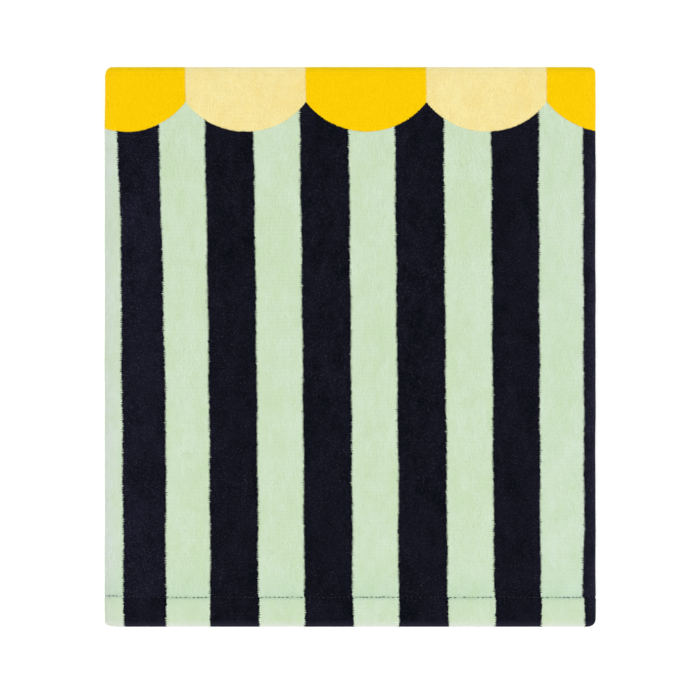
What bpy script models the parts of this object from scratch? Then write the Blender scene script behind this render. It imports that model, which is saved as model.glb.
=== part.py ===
"""A bath towel of sheared terry, folded and laid flat. Units are metres.

X runs across the towel, Y from its hemmed end to its folded end, and Z up from the surface it lies on.
The towel's long edges are turned in to its middle, which makes a strip of two layers. The strip is then
folded in three: its front third lies on top, goes round the far fold, lies underneath as the back third,
goes round the near fold, and ends inside as the middle third.
"""

import math

import bmesh
import bpy

MM = 0.001

# Driving sizes
FOLDED_WIDTH = 380 * MM
FOLDED_LENGTH = 434 * MM
CLOTH = 3.0 * MM  # one layer with its pile
SLIT = 0.3 * MM  # between a strip's two layers
GAP = 0.3 * MM  # between one strip, or one piece, and the next
HEM_DEPTH = 22.5 * MM  # from the near edge to the line of stitches
HEM_PUFF = 0.7 * MM  # how much thicker the turned cloth of the hem is
TURN_IN = 12 * MM  # how far the outer cloth goes in under its own side folds
CROWN = 1.6 * MM  # how far the middle of the top stands above its edges
NEAR_FOLD_INSET = 2.5 * MM  # how far the near fold lies inside the hem's edge
NEAR_TUCK = 15 * MM  # how far the outer cloth goes in past the near fold
MIDDLE_INSET = 2 * MM  # how much narrower the middle third is on each side
MIDDLE_STOPS = 5 * MM  # how far before the far fold the middle third ends
SELVAGE_GAP = 3 * MM  # between the two long edges where they meet, under the hem's middle
STRIP_ROOT = 0.75 * MM  # how far the middle third comes out of the block that it is joined to

# How each corner rounds off, seen from above: how much width goes, and over what length
CORNERS = {
    "near_left": {"across": 9 * MM, "along": 3.6 * MM},
    "near_right": {"across": 7 * MM, "along": 5.5 * MM},
    "far_left": {"across": 2 * MM, "along": 7.5 * MM},
    "far_right": {"across": 2 * MM, "along": 1.2 * MM},
}

# How finely the curves are cut
TOP_COLUMNS = 16
TOP_ROWS = 16
BACK_ROWS = 6
NOSE_STEPS = 6
FOLD_STEPS = 8
ROUND_STEPS = 4
HEM_ROWS = 6
HEM_EDGE_START = 15  # degrees round the hem's edge at which its wall begins
STRIP_END_TURN = 75  # degrees round the middle third's far end at which it closes

# Colours of the sheared pile
MINT = (0.60, 0.74, 0.53, 1)
NAVY = (0.010, 0.010, 0.019, 1)
PILE_ROUGHNESS = 0.95
SHARP_ANGLE = math.radians(50)

# Levels and places worked out from the sizes
STRIP = 2 * CLOTH + SLIT
HALF_STRIP = STRIP / 2
LAYER_MIDDLE = (CLOTH + SLIT) / 2  # from a strip's mid-plane to the middle of one layer
BACK_Z = HALF_STRIP
MIDDLE_Z = BACK_Z + STRIP + GAP
FRONT_Z = MIDDLE_Z + STRIP + GAP
HALF_WIDTH = FOLDED_WIDTH / 2
NEAR_EDGE = -FOLDED_LENGTH / 2
FAR_EDGE = FOLDED_LENGTH / 2
STITCH_LINE = NEAR_EDGE + HEM_DEPTH
LIP_END = HALF_WIDTH - HALF_STRIP - TURN_IN
FAR_RADIUS = (FRONT_Z - BACK_Z) / 2
NEAR_RADIUS = (MIDDLE_Z - BACK_Z) / 2

# The axes that the strip's mid-plane bends round
FAR_FOLD = {"y": FAR_EDGE - FAR_RADIUS - HALF_STRIP, "z": BACK_Z + FAR_RADIUS, "radius": FAR_RADIUS}
NEAR_FOLD = {
    "y": NEAR_EDGE + NEAR_FOLD_INSET + NEAR_RADIUS + HALF_STRIP,
    "z": BACK_Z + NEAR_RADIUS,
    "radius": NEAR_RADIUS,
}
TUCK_END = NEAR_FOLD["y"] + NEAR_TUCK

# How far the side folds turn under from the top, and how much of its lip the cloth has beyond them.
# Inside the near fold there is only room for part of both.
FULL_SWEEP = math.radians(180)
NEAR_FOLD_SWEEP = math.radians(140)
NEAR_FOLD_LIP = 0.04


def spread(first, last, steps):
    """The values from first to last in equal steps, both ends included."""
    return [first + (last - first) * i / steps for i in range(steps + 1)]


def spread_to_ends(first, last, steps):
    """As spread, but with the values closer together towards both ends."""
    return [
        (first + last) / 2 + (last - first) / 2 * math.sin(turn)
        for turn in spread(-math.pi / 2, math.pi / 2, steps)
    ]


def crown(x, y):
    """How far the top stands up at a place. It falls off near the stitches, the sides and the far fold."""
    middle = (STITCH_LINE + FAR_FOLD["y"]) / 2
    along = (y - middle) / (FAR_FOLD["y"] - middle)
    across = x / (HALF_WIDTH - HALF_STRIP)
    return CROWN * max(0, 1 - across**6) * max(0, 1 - along**8)


def rounding(corner, distance):
    """How much narrower the towel is at a distance from one end, where that corner rounds off."""
    size = CORNERS[corner]
    left = 1 - min(distance, size["along"]) / size["along"]
    return size["across"] * (1 - math.sqrt(1 - left**2))


def half_width(side, y):
    """From the towel's middle line to its outside, on one side, at a place along it."""
    return HALF_WIDTH - rounding(f"near_{side}", y - NEAR_EDGE) - rounding(f"far_{side}", FAR_EDGE - y)


def station(y, z, angle=90, reach=None, **changes):
    """One place along a strip: where its mid-plane is, which way it faces, and what its section is like.

    The angle is in degrees, from +Y towards +Z. The reach is the Y that sets how the corners round off.
    """
    turn = math.radians(angle)
    reach = y if reach is None else reach
    place = {
        "y": y,
        "z": z,
        "facing": (math.cos(turn), math.sin(turn)),
        "left": half_width("left", reach),
        "right": half_width("right", reach),
        "middle": LAYER_MIDDLE,
        "wall": CLOTH,
        "sweep": FULL_SWEEP,
        "lip": 1,
        "lip_end": LIP_END,
        "crowned": False,
    }
    return place | changes


def side_fold(place, side, radius):
    """One side of a section as (x, height) points, from the end of its lip up to the level top."""
    centre = place[side] - place["middle"] - place["wall"] / 2
    sweep = place["sweep"]
    lip = (centre - place["lip_end"]) * place["lip"]
    lip_point = (
        centre + radius * math.sin(sweep) + lip * math.cos(sweep),
        radius * math.cos(sweep) - lip * math.sin(sweep),
    )
    return [lip_point] + [
        (centre + radius * math.sin(turn), radius * math.cos(turn))
        for turn in spread(sweep, 0, NOSE_STEPS)
    ]


def face_line(place, radius):
    """One face of the cloth from its left lip over the top to its right lip, as (x, height) points."""
    left = [(-x, height) for x, height in side_fold(place, "left", radius)]
    right = side_fold(place, "right", radius)
    top = [
        (x, radius + (crown(x, place["y"]) if place["crowned"] else 0))
        for x in spread_to_ends(left[-1][0], right[-1][0], TOP_COLUMNS)[1:-1]
    ]
    return left + top + right[::-1]


def wall_ring(place):
    """The outline of the cloth's wall at a place: along its outer face, then back along its inner face."""
    outer = face_line(place, place["middle"] + place["wall"] / 2)
    inner = face_line(place, place["middle"] - place["wall"] / 2)
    facing_y, facing_z = place["facing"]
    return [
        (x, place["y"] + height * facing_y, place["z"] + height * facing_z)
        for x, height in outer + inner[::-1]
    ]


def arc(fold, radius, first, last):
    """Points as (y, z) round a fold's axis, from one angle in degrees to another."""
    turns = spread(math.radians(first), math.radians(last), FOLD_STEPS)
    return [(fold["y"] + radius * math.cos(turn), fold["z"] + radius * math.sin(turn)) for turn in turns]


def round_fold(fold, first, last, **changes):
    """The stations round a fold from one angle to another, without the first."""
    angles = spread(first, last, FOLD_STEPS)
    middles = arc(fold, fold["radius"], first, last)
    outsides = arc(fold, fold["radius"] + HALF_STRIP, first, last)
    return [
        station(y, z, angle, reach=reach, **changes)
        for angle, (y, z), (reach, _) in list(zip(angles, middles, outsides))[1:]
    ]


def bridge(mesh, rings):
    """A skin of four-sided faces through rings of points. It returns the corners of both end rings."""
    loops = [[mesh.verts.new(point) for point in ring] for ring in rings]
    for first, second in zip(loops, loops[1:]):
        for i in range(len(first)):
            j = (i + 1) % len(first)
            mesh.faces.new((first[i], first[j], second[j], second[i]))
    return loops[0], loops[-1]


def close_wall(mesh, ring):
    """Closes a wall's end, with a face from each stretch of its outer face to the inner face behind."""
    last = len(ring) - 1
    for i in range(len(ring) // 2 - 1):
        mesh.faces.new((ring[i], ring[i + 1], ring[last - i - 1], ring[last - i]))


def add_piece(name, mesh, colour):
    """An object from a finished bmesh, smooth shaded and with a material of its own."""
    bmesh.ops.recalc_face_normals(mesh, faces=mesh.faces)
    data = bpy.data.meshes.new(name)
    mesh.to_mesh(data)
    mesh.free()
    data.shade_smooth()
    data.set_sharp_from_angle(angle=SHARP_ANGLE)
    material = bpy.data.materials.new(name)
    material.use_nodes = True
    shader = material.node_tree.nodes["Principled BSDF"]
    shader.inputs["Base Color"].default_value = colour
    shader.inputs["Roughness"].default_value = PILE_ROUGHNESS
    shader.inputs["Metallic"].default_value = 0
    data.materials.append(material)
    piece = bpy.data.objects.new(name, data)
    bpy.context.scene.collection.objects.link(piece)
    return piece


def cloth_wall(name, places, colour):
    """A wall of cloth through its stations, closed at both ends."""
    mesh = bmesh.new()
    for end in bridge(mesh, [wall_ring(place) for place in places]):
        close_wall(mesh, end)
    return add_piece(name, mesh, colour)


def make_outer_cloth():
    """The towel's face: the front third, the far fold, the back third underneath and the near fold."""
    top = [
        station(y, FRONT_Z, crowned=True)
        for y in spread_to_ends(STITCH_LINE + GAP / 2, FAR_FOLD["y"], TOP_ROWS)
    ]
    far_fold = round_fold(FAR_FOLD, 90, -90)
    back = [station(y, BACK_Z, -90) for y in spread(FAR_FOLD["y"], STITCH_LINE, BACK_ROWS)[1:]]

    # The lips run out first, and then the side folds open
    slim = {"sweep": NEAR_FOLD_SWEEP, "lip": NEAR_FOLD_LIP}
    lips_gone = (STITCH_LINE + NEAR_FOLD["y"]) / 2
    back.append(station(lips_gone, BACK_Z, -90, lip=NEAR_FOLD_LIP))
    back.append(station(NEAR_FOLD["y"], BACK_Z, -90, **slim))

    near_fold = round_fold(NEAR_FOLD, -90, -270, **slim)
    for i, place in enumerate(near_fold):
        inset = MIDDLE_INSET * (i + 1) / len(near_fold)
        place["left"] -= inset
        place["right"] -= inset
    tuck = near_fold[-1] | {"y": TUCK_END}
    return cloth_wall("outer_cloth", top + far_fold + back + near_fold + [tuck], MINT)


def hem_station(distance, share=1):
    """One place in the hem, at a distance from the near edge. The share thins its wall at the very edge."""
    fullness = math.cos(math.pi / 2 * min(1, distance / HEM_DEPTH) ** 3)
    wall = CLOTH + HEM_PUFF * fullness
    return station(
        NEAR_EDGE + distance,
        FRONT_Z + wall - CLOTH,
        middle=(wall + SLIT) / 2,
        wall=wall * share,
        lip_end=SELVAGE_GAP / 2,
    )


def make_end_hem():
    """The turned end of the towel, on top of the near edge. Its two sides meet under its middle."""
    radius = (CLOTH + HEM_PUFF) / 2
    turns = [math.radians(turn) for turn in spread(HEM_EDGE_START, 90, ROUND_STEPS)]
    rounded = [
        hem_station(radius * (math.cos(turns[0]) - math.cos(turn)), math.sin(turn))
        for turn in turns
    ]
    level = [hem_station(distance) for distance in spread(radius, HEM_DEPTH - GAP / 2, HEM_ROWS)[1:]]
    return cloth_wall("end_hem", rounded + level, MINT)


def make_folded_core():
    """The turned-in sides and whatever lies between them, as one block with the folds' rounded ends."""
    bottom = BACK_Z + SLIT / 2
    top = FRONT_Z - SLIT / 2
    front_flap = FRONT_Z - HALF_STRIP
    under_tuck = MIDDLE_Z - SLIT / 2
    front_starts = STITCH_LINE + GAP / 2
    middle_starts = TUCK_END + GAP + STRIP_ROOT
    outline = arc(FAR_FOLD, top - FAR_FOLD["z"], -90, 90)
    outline += [
        (front_starts, top),
        (front_starts, front_flap),
        (middle_starts, front_flap),
        (middle_starts, under_tuck),
    ]
    outline += arc(NEAR_FOLD, NEAR_FOLD["z"] - bottom, 90, 270)
    half = LIP_END - GAP
    mesh = bmesh.new()
    for end in bridge(mesh, [[(x, y, z) for y, z in outline] for x in (-half, half)]):
        mesh.faces.new(end)
    return add_piece("folded_layers", mesh, NAVY)


def make_middle_strip():
    """The middle third, whose rounded side folds show between the other two, as a guide for the union."""
    start = TUCK_END + GAP
    stop = FAR_FOLD["y"] - MIDDLE_STOPS
    rows = [(start, HALF_STRIP)]
    for turn in spread(0, STRIP_END_TURN, ROUND_STEPS):
        turn = math.radians(turn)
        rows.append((stop - HALF_STRIP * (1 - math.sin(turn)), HALF_STRIP * math.cos(turn)))
    rings = []
    for y, radius in rows:
        centre = HALF_WIDTH - MIDDLE_INSET - HALF_STRIP
        nose = [
            (centre + radius * math.sin(turn), radius * math.cos(turn))
            for turn in spread(FULL_SWEEP, 0, NOSE_STEPS)
        ]
        around = nose + [(-x, height) for x, height in nose[::-1]]
        rings.append([(x, y, MIDDLE_Z + height) for x, height in around])
    mesh = bmesh.new()
    for end in bridge(mesh, rings):
        mesh.faces.new(end)
    strip = add_piece("middle_strip_guide", mesh, NAVY)
    strip.hide_render = True
    strip.display_type = "WIRE"
    return strip


def make_folded_layers():
    """All the hidden layers as one rounded solid."""
    core = make_folded_core()
    union = core.modifiers.new("join_middle_strip", "BOOLEAN")
    union.operation = "UNION"
    union.solver = "EXACT"
    union.object = make_middle_strip()
    return core


for old in list(bpy.data.objects):
    bpy.data.objects.remove(old, do_unlink=True)

make_outer_cloth()
make_end_hem()
make_folded_layers()
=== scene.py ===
# A bath towel of sheared terry, folded flat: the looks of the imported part. Lengths are in metres.
import math
import random

import bmesh
import bpy
import numpy as np
from mathutils import Matrix, Vector


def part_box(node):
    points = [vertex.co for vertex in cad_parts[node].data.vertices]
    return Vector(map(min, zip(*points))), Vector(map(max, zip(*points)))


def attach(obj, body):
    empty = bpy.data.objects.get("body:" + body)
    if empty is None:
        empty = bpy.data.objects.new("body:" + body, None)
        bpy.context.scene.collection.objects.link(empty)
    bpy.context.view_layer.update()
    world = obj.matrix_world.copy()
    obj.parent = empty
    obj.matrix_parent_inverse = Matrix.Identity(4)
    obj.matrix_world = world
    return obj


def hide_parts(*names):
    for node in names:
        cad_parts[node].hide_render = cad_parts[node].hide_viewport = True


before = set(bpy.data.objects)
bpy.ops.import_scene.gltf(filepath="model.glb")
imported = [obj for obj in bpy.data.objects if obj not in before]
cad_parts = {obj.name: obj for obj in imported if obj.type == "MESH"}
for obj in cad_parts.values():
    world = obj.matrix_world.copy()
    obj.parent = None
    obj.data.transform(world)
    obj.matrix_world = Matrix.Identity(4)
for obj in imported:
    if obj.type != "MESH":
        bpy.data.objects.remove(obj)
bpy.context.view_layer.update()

mm = 0.001
body = "root"

# The fold as the part has it: three strips of two layers, the front one on top
fold = {
    "layer": 3.0 * mm,  # one layer with its pile
    "slit": 0.3 * mm,  # between a strip's two layers
    "gap": 0.3 * mm,  # between strips
    "pile": 0.45 * mm,  # how much of a layer's face is loose tufts
    "crown": 1.6 * mm,  # how far the middle of the top stands up
    "fullness": 0.3 * mm,  # how far the pile swells the sides past the part's own
    "middleInset": 2 * mm,  # the middle strip is this much narrower on each side
    "middleStops": 5 * mm,  # before the far fold
    "middleRound": 2 * mm,  # how its end there is rounded
    "flapEnd": 1.5 * mm,  # the long edges stop this far from the middle line
    "levelTurn": 70,  # degrees round a side over which its level part passes into it
    "hemPuff": 0.7 * mm,  # how much thicker the hem's turned cloth is
    "hemBack": 0.36 * mm,  # how far its end stays back to leave room for the tufts
    "underlap": 14 * mm,  # how far the front cloth goes on under the towel past the far fold
    "tuck": 9 * mm,  # how far the back cloth goes on past the near fold
}

# How each corner rounds off, seen from above: how much width goes, and over what length
corners = {
    "nearLeft": {"across": 9 * mm, "along": 3.6 * mm},
    "nearRight": {"across": 7 * mm, "along": 5.5 * mm},
    "farLeft": {"across": 2 * mm, "along": 7.5 * mm},
    "farRight": {"across": 2 * mm, "along": 1.2 * mm},
}

outerLow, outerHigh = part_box("outer_cloth")
hemLow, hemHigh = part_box("end_hem")
halfWidth = outerHigh[0]
nearEdge = hemLow[1]
farEdge = outerHigh[1]
stitchY = hemHigh[1] + fold["gap"] / 2
hemDepth = stitchY - nearEdge

# Levels of the three strips' mid-planes, and the two folds' axes
halfStrip = fold["layer"] + fold["slit"] / 2
backZ = halfStrip
middleZ = backZ + 2 * halfStrip + fold["gap"]
frontZ = middleZ + 2 * halfStrip + fold["gap"]
farFold = {"radius": (frontZ - backZ) / 2}
farFold["y"] = farEdge - farFold["radius"] - halfStrip
farFold["z"] = backZ + farFold["radius"]
nearFold = {"radius": (middleZ - backZ) / 2}
nearFold["y"] = outerLow[1] + nearFold["radius"] + halfStrip
nearFold["z"] = backZ + nearFold["radius"]
wallMiddle = (fold["layer"] + fold["slit"]) / 2  # from a mid-plane to the middle of one layer

# The cloth's v, along its length from the stitches, at each bend
farStart = farFold["y"] - stitchY
farEnd = farStart + (farFold["radius"] + wallMiddle) * math.pi
nearStart = farEnd + farFold["y"] - nearFold["y"]
nearEnd = nearStart + (nearFold["radius"] + wallMiddle) * math.pi
underlapEnd = farFold["y"] - fold["underlap"]
tuckEnd = nearFold["y"] + fold["tuck"]


def table(names, *rows):
    # One dictionary for each row of numbers, by the names of its columns
    return [dict(zip(names.split(), row)) for row in rows]


# Soft, low ridges and troughs in the top: where, how long, how wide, which way and how high
swells = table(
    "x y long wide turn height",
    (-118, 60, 150, 42, 78, 0.55),
    (-62, -96, 120, 36, 97, -0.40),
    (22, 34, 170, 48, 85, 0.45),
    (92, -70, 110, 34, 104, 0.50),
    (128, 92, 130, 40, 72, -0.45),
    (-20, 128, 90, 30, 12, 0.35),
    (60, -140, 140, 26, 4, -0.35),
    (-130, -120, 80, 30, 30, 0.35),
)

edgeWaver = {"height": 0.22 * mm, "lengths": (0.047, 0.083, 0.171)}

# The row of stitches presses a furrow into the pile, and the cloth puckers beside it
furrow = {"depth": 0.95 * mm, "width": 1.0 * mm, "pucker": 0.25 * mm, "reach": 6 * mm}

# The row isn't quite straight: it wanders a little, and runs farther in near the left side
seamLine = {
    "inward": 0.52 * mm,
    "wander": 0.25 * mm,
    "lengths": (0.052, 0.094, 0.21),
    "leftRise": 1.2 * mm,
    "leftLong": 48 * mm,
    "fade": 9 * mm,
    "felt": 25 * mm,  # past this nothing of the row shows
}


def smoothStep(share):
    share = np.clip(share, 0, 1)
    return share * share * (3 - 2 * share)


def hills(x, seed, *lengths):
    # A smooth uneven line in -1 to 1: sines of given wavelengths with mixed-up starts
    starts = random.Random(seed)
    total = sum(np.sin(2 * math.pi * x / length + starts.uniform(0, 6.28)) for length in lengths)
    return total / len(lengths)


def cornerCut(corner, distance):
    size = corners[corner]
    left = 1 - np.clip(distance, 0, size["along"]) / size["along"]
    return size["across"] * (1 - math.sqrt(1 - left * left))


def halfWidthAt(side, y):
    return halfWidth - cornerCut("near" + side, y - nearEdge) - cornerCut("far" + side, farEdge - y)


def topLift(x, y):
    # How far the top stands above its level: the crown and the swells, which die away at its edges
    middle = (stitchY + farFold["y"]) / 2
    along = np.clip((y - middle) / (farFold["y"] - middle), -1, 1)
    across = np.clip(x / (halfWidth - halfStrip), -1, 1)
    lift = fold["crown"] * (1 - across**6) * (1 - along**8)
    waves = 0
    for swell in swells:
        turn = math.radians(swell["turn"])
        dx = x - swell["x"] * mm
        dy = y - swell["y"] * mm
        lengthways = (dx * math.cos(turn) + dy * math.sin(turn)) / (swell["long"] * mm)
        crossways = (dy * math.cos(turn) - dx * math.sin(turn)) / (swell["wide"] * mm)
        waves = waves + swell["height"] * mm * np.exp(-2 * (lengthways**2 + crossways**2))
    return lift + waves * (1 - across**4) * (1 - along**4)


def furrowDip(x, v):
    # How far the row of stitches pulls the cloth down, at a distance v beyond it
    pull = 0.8 + 0.2 * hills(x, 3, 0.0093, 0.0141, 0.031)
    dip = furrow["depth"] * pull * math.exp(-((v / furrow["width"]) ** 2))
    pucker = furrow["pucker"] * hills(x, 5, 0.0083, 0.0127, 0.0196) * math.exp(-abs(v) / furrow["reach"])
    return dip - pucker * (1 - math.exp(-((v / furrow["width"]) ** 2)))


def seamShift(x, v):
    # How far the row of stitches lies off its straight line, dying away to both sides of it
    shift = seamLine["inward"] + seamLine["wander"] * hills(x, 8, *seamLine["lengths"])
    nearLeft = -x - halfWidth + seamLine["leftLong"]
    shift = shift + seamLine["leftRise"] * smoothStep(nearLeft / seamLine["leftLong"])
    return shift * math.exp(-((v / seamLine["fade"]) ** 2))


def sideAt(side, reach, v):
    # From the middle line to a side fold's outside, which wavers, and is drawn in past the near fold
    waver = edgeWaver["height"] * hills(v, side, *edgeWaver["lengths"])
    drawnIn = fold["middleInset"] * smoothStep((v - nearStart) / (nearEnd - nearStart))
    return halfWidthAt(side, reach) + fold["fullness"] + waver - drawnIn


def row(y, z, turn, v, reach=None, **changes):
    # One place along a strip: its mid-plane's point, the way it faces, and what its section is like
    reach = y if reach is None else reach
    here = {
        "y": y,
        "z": z,
        "turn": math.radians(turn),
        "v": v,
        "left": sideAt("Left", reach, v),
        "right": sideAt("Right", reach, v),
        "nose": halfStrip,  # how far the rounded side reaches past its centre, with the pile
        "outside": halfStrip - fold["pile"],
        "flat": halfStrip - fold["pile"],  # the same as outside, but where the strip is level
        "inside": fold["slit"] / 2,
        "lifted": False,
        "stitched": False,
    }
    return here | changes


def section(here, columns):
    # The outer and the inner face of a strip at one row, as x and height, and u, the place across the cloth
    turns = np.linspace(0, math.pi, columns["nose"] + 1)
    flaps = np.linspace(0, 1, columns["flap"] + 1)[1:]
    sides = []
    for side, sign in (("left", -1), ("right", 1)):
        centre = here[side] - here["nose"]
        level = smoothStep(turns / math.radians(fold["levelTurn"]))
        outside = here["flat"] + (here["outside"] - here["flat"]) * level
        if here["stitched"]:
            outside = outside - furrowDip(sign * centre, here["v"]) * (1 - turns / math.pi)
        flapX = centre + (fold["flapEnd"] - centre) * flaps
        outerX = np.concatenate([centre + outside * np.sin(turns), flapX])
        outerH = np.concatenate([outside * np.cos(turns), 0 * flaps - here["outside"]])
        innerX = np.concatenate([centre + here["inside"] * np.sin(turns), flapX])
        innerH = np.concatenate([here["inside"] * np.cos(turns), 0 * flaps - here["inside"]])
        across = np.concatenate([centre + wallMiddle * turns, centre + wallMiddle * math.pi + centre - flapX])
        sides.append([sign * outerX, outerH, sign * innerX, innerH, sign * across])
    left, right = sides
    topX = np.linspace(left[0][0], right[0][0], columns["top"] + 1)[1:-1]
    lift = topLift(topX, here["y"]) if here["lifted"] else 0 * topX
    if here["stitched"]:
        lift = lift - furrowDip(topX, here["v"])
    top = [topX, here["flat"] + lift, topX, here["inside"] + lift, topX]
    return [np.concatenate([left[i][::-1], top[i], right[i]]) for i in range(5)]


def shell(rows, columns):
    # The grids of a strip's outer and inner faces, and the cloth's own u and v on them
    outer, inner, across = [], [], []
    for here in rows:
        outerX, outerH, innerX, innerH, u = section(here, columns)
        up, out = math.sin(here["turn"]), math.cos(here["turn"])
        outerY = here["y"] + outerH * out
        innerY = here["y"] + innerH * out
        if here["stitched"]:
            outerY = outerY + seamShift(outerX, here["v"])
            innerY = innerY + seamShift(innerX, here["v"])
        outer.append(np.stack([outerX, outerY, here["z"] + outerH * up], 1))
        inner.append(np.stack([innerX, innerY, here["z"] + innerH * up], 1))
        across.append(u)
    along = np.array([here["v"] for here in rows])
    return {"outer": np.array(outer), "inner": np.array(inner), "u": np.array(across), "v": along}


def placed(name, data):
    piece = bpy.data.objects.new(name, data)
    bpy.context.scene.collection.objects.link(piece)
    return piece


def meshFrom(name, points, quads, cloth=None):
    # A mesh object from arrays, with the cloth's own map in metres where it has one
    mesh = bpy.data.meshes.new(name)
    sides = quads.shape[1]
    mesh.vertices.add(len(points))
    mesh.vertices.foreach_set("co", points.astype(np.float32).ravel())
    mesh.loops.add(quads.size)
    mesh.loops.foreach_set("vertex_index", quads.astype(np.int32).ravel())
    mesh.polygons.add(len(quads))
    mesh.polygons.foreach_set("loop_start", np.arange(0, quads.size, sides, dtype=np.int32))
    mesh.update(calc_edges=True)
    if cloth is not None:
        layer = mesh.uv_layers.new(name="cloth")
        layer.data.foreach_set("uv", cloth[quads.ravel()].astype(np.float32).ravel())
    mesh.shade_smooth()
    return placed(name, mesh)


def closedWall(name, grids):
    # The outer and inner faces joined at the flaps' edges, and closed at both ends
    ring = np.concatenate([grids["outer"], grids["inner"][:, ::-1]], 1)
    rows, around = ring.shape[:2]
    u = np.concatenate([grids["u"], grids["u"][:, ::-1]], 1)
    v = np.repeat(grids["v"][:, None], around, 1)
    index = np.arange(rows * around).reshape(rows, around)
    after = np.roll(index, -1, 1)
    skin = np.stack([index[:-1], after[:-1], after[1:], index[1:]], 2).reshape(-1, 4)
    half = around // 2
    first = index[0]
    last = index[-1]
    steps = np.arange(half - 1)
    back, further = around - 1 - steps, around - 2 - steps
    startCap = np.stack([first[steps + 1], first[steps], first[back], first[further]], 1)
    endCap = np.stack([last[steps], last[steps + 1], last[further], last[back]], 1)
    quads = np.concatenate([skin, startCap, endCap])
    points = ring.reshape(-1, 3)
    corner = points[quads]
    volume = np.einsum("ij,ij->i", corner[:, 0], np.cross(corner[:, 1], corner[:, 2])).sum()
    volume += np.einsum("ij,ij->i", corner[:, 0], np.cross(corner[:, 2], corner[:, 3])).sum()
    if volume < 0:
        quads = quads[:, ::-1]
    return meshFrom(name, points, quads, np.stack([u.ravel(), v.ravel()], 1))


# How finely each strip is cut: steps across its level part, round its sides and along its flaps
columns = {
    "front": {"top": 116, "nose": 12, "flap": 4},
    "back": {"top": 24, "nose": 12, "flap": 4},
    "middle": {"top": 16, "nose": 12, "flap": 4},
}
roundFolds = {
    "far": 18,  # steps
    "near": 14,
    "hemEnd": (12, 26, 41, 57, 74, 90),  # degrees at which its rows stand
    "middleEnd": (30, 55, 75),
}
rowSteps = {"front": 3.6 * mm, "under": 5 * mm, "back": 9 * mm, "middle": 8 * mm, "hem": 1.7 * mm}
besideStitches = [0, 0.4, 0.8, 1.2, 1.7, 2.3, 3.1, 4.2, 5.8]  # rows next to the stitches, in mm


def stepsTo(first, last, step):
    return np.linspace(first, last, max(2, round(abs(last - first) / step) + 1))


def foldRows(axis, first, last, steps, v, flats):
    # Rows round a fold, without the first. flats is how much pile its level part has at each end
    rows = []
    for share in np.linspace(0, 1, steps + 1)[1:]:
        turn = first + (last - first) * share
        across = math.cos(math.radians(turn))
        bare = flats[0] + (flats[1] - flats[0]) * smoothStep(share)
        rows.append(
            row(
                axis["y"] + axis["radius"] * across,
                axis["z"] + axis["radius"] * math.sin(math.radians(turn)),
                turn,
                v + (axis["radius"] + wallMiddle) * math.radians(abs(last - first)) * share,
                reach=axis["y"] + (axis["radius"] + halfStrip) * across,
                flat=halfStrip - fold["pile"] * bare,
            )
        )
    return rows


def thinned(here, share):
    # The row with its wall thinned towards its middle, as at a rounded edge
    middle = here["nose"] - fold["layer"] / 2
    for face in ("outside", "flat", "inside"):
        here[face] = middle + (here[face] - middle) * share
    return here


def frontRows():
    rows = [row(stitchY + ahead * mm, frontZ, 90, ahead * mm, stitched=True) for ahead in besideStitches]
    for y in stepsTo(rows[-1]["y"], farFold["y"], rowSteps["front"])[1:]:
        rows.append(row(y, frontZ, 90, y - stitchY, stitched=y - stitchY < seamLine["felt"]))
    for here in rows:
        here["lifted"] = True
    rows += foldRows(farFold, 90, -90, roundFolds["far"], farStart, (1, 0))
    for y in stepsTo(farFold["y"], underlapEnd, rowSteps["under"])[1:]:
        rows.append(row(y, backZ, -90, farEnd + farFold["y"] - y, flat=halfStrip))
    return rows


def backRows():
    rows = [
        row(y, backZ, -90, farEnd + farFold["y"] - y, flat=halfStrip)
        for y in stepsTo(underlapEnd, nearFold["y"], rowSteps["back"])
    ]
    rows += foldRows(nearFold, -90, -270, roundFolds["near"], nearStart, (0, 1))
    for y in stepsTo(nearFold["y"], tuckEnd, rowSteps["under"])[1:]:
        rows.append(row(y, middleZ, 90, nearEnd + y - nearFold["y"]))
    return rows


def middleRows():
    stop = farFold["y"] - fold["middleStops"]
    rows = []
    for y in stepsTo(tuckEnd, stop - fold["middleRound"], rowSteps["middle"]):
        rows.append(row(y, middleZ, 90, nearEnd + y - nearFold["y"]))
    for turn in roundFolds["middleEnd"]:
        y = stop - fold["middleRound"] * (1 - math.sin(math.radians(turn)))
        here = row(y, middleZ, 90, nearEnd + y - nearFold["y"])
        rows.append(thinned(here, math.cos(math.radians(turn))))
    return rows


def hemRow(fromEdge, share=1):
    fullness = math.cos(math.pi / 2 * min(1, fromEdge / hemDepth) ** 3)
    wall = fold["layer"] + fold["hemPuff"] * fullness
    nose = wall + fold["slit"] / 2
    y = nearEdge + fromEdge
    here = row(
        y,
        frontZ + wall - fold["layer"],
        90,
        y - stitchY,
        nose=nose,
        outside=nose - fold["pile"],
        flat=nose - fold["pile"],
        stitched=True,
    )
    return thinned(here, share)


def hemRows():
    radius = (fold["layer"] + fold["hemPuff"] - fold["pile"]) / 2
    rows = []
    for turn in roundFolds["hemEnd"]:
        turn = math.radians(turn)
        rows.append(hemRow(fold["hemBack"] + radius * (1 - math.cos(turn)), math.sin(turn)))
    last = hemDepth - besideStitches[-1] * mm
    rows += [hemRow(y - nearEdge) for y in stepsTo(rows[-1]["y"], nearEdge + last, rowSteps["hem"])[1:]]
    rows += [hemRow(hemDepth - behind * mm) for behind in besideStitches[-2::-1]]
    return rows


shells = {
    "frontThird": shell(frontRows(), columns["front"]),
    "backThird": shell(backRows(), columns["back"]),
    "middleThird": shell(middleRows(), columns["middle"]),
    "endHem": shell(hemRows(), columns["front"]),
}
cloths = {name: closedWall(name, grids) for name, grids in shells.items()}
print("cloth:", {name: len(piece.data.polygons) for name, piece in cloths.items()})


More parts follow.
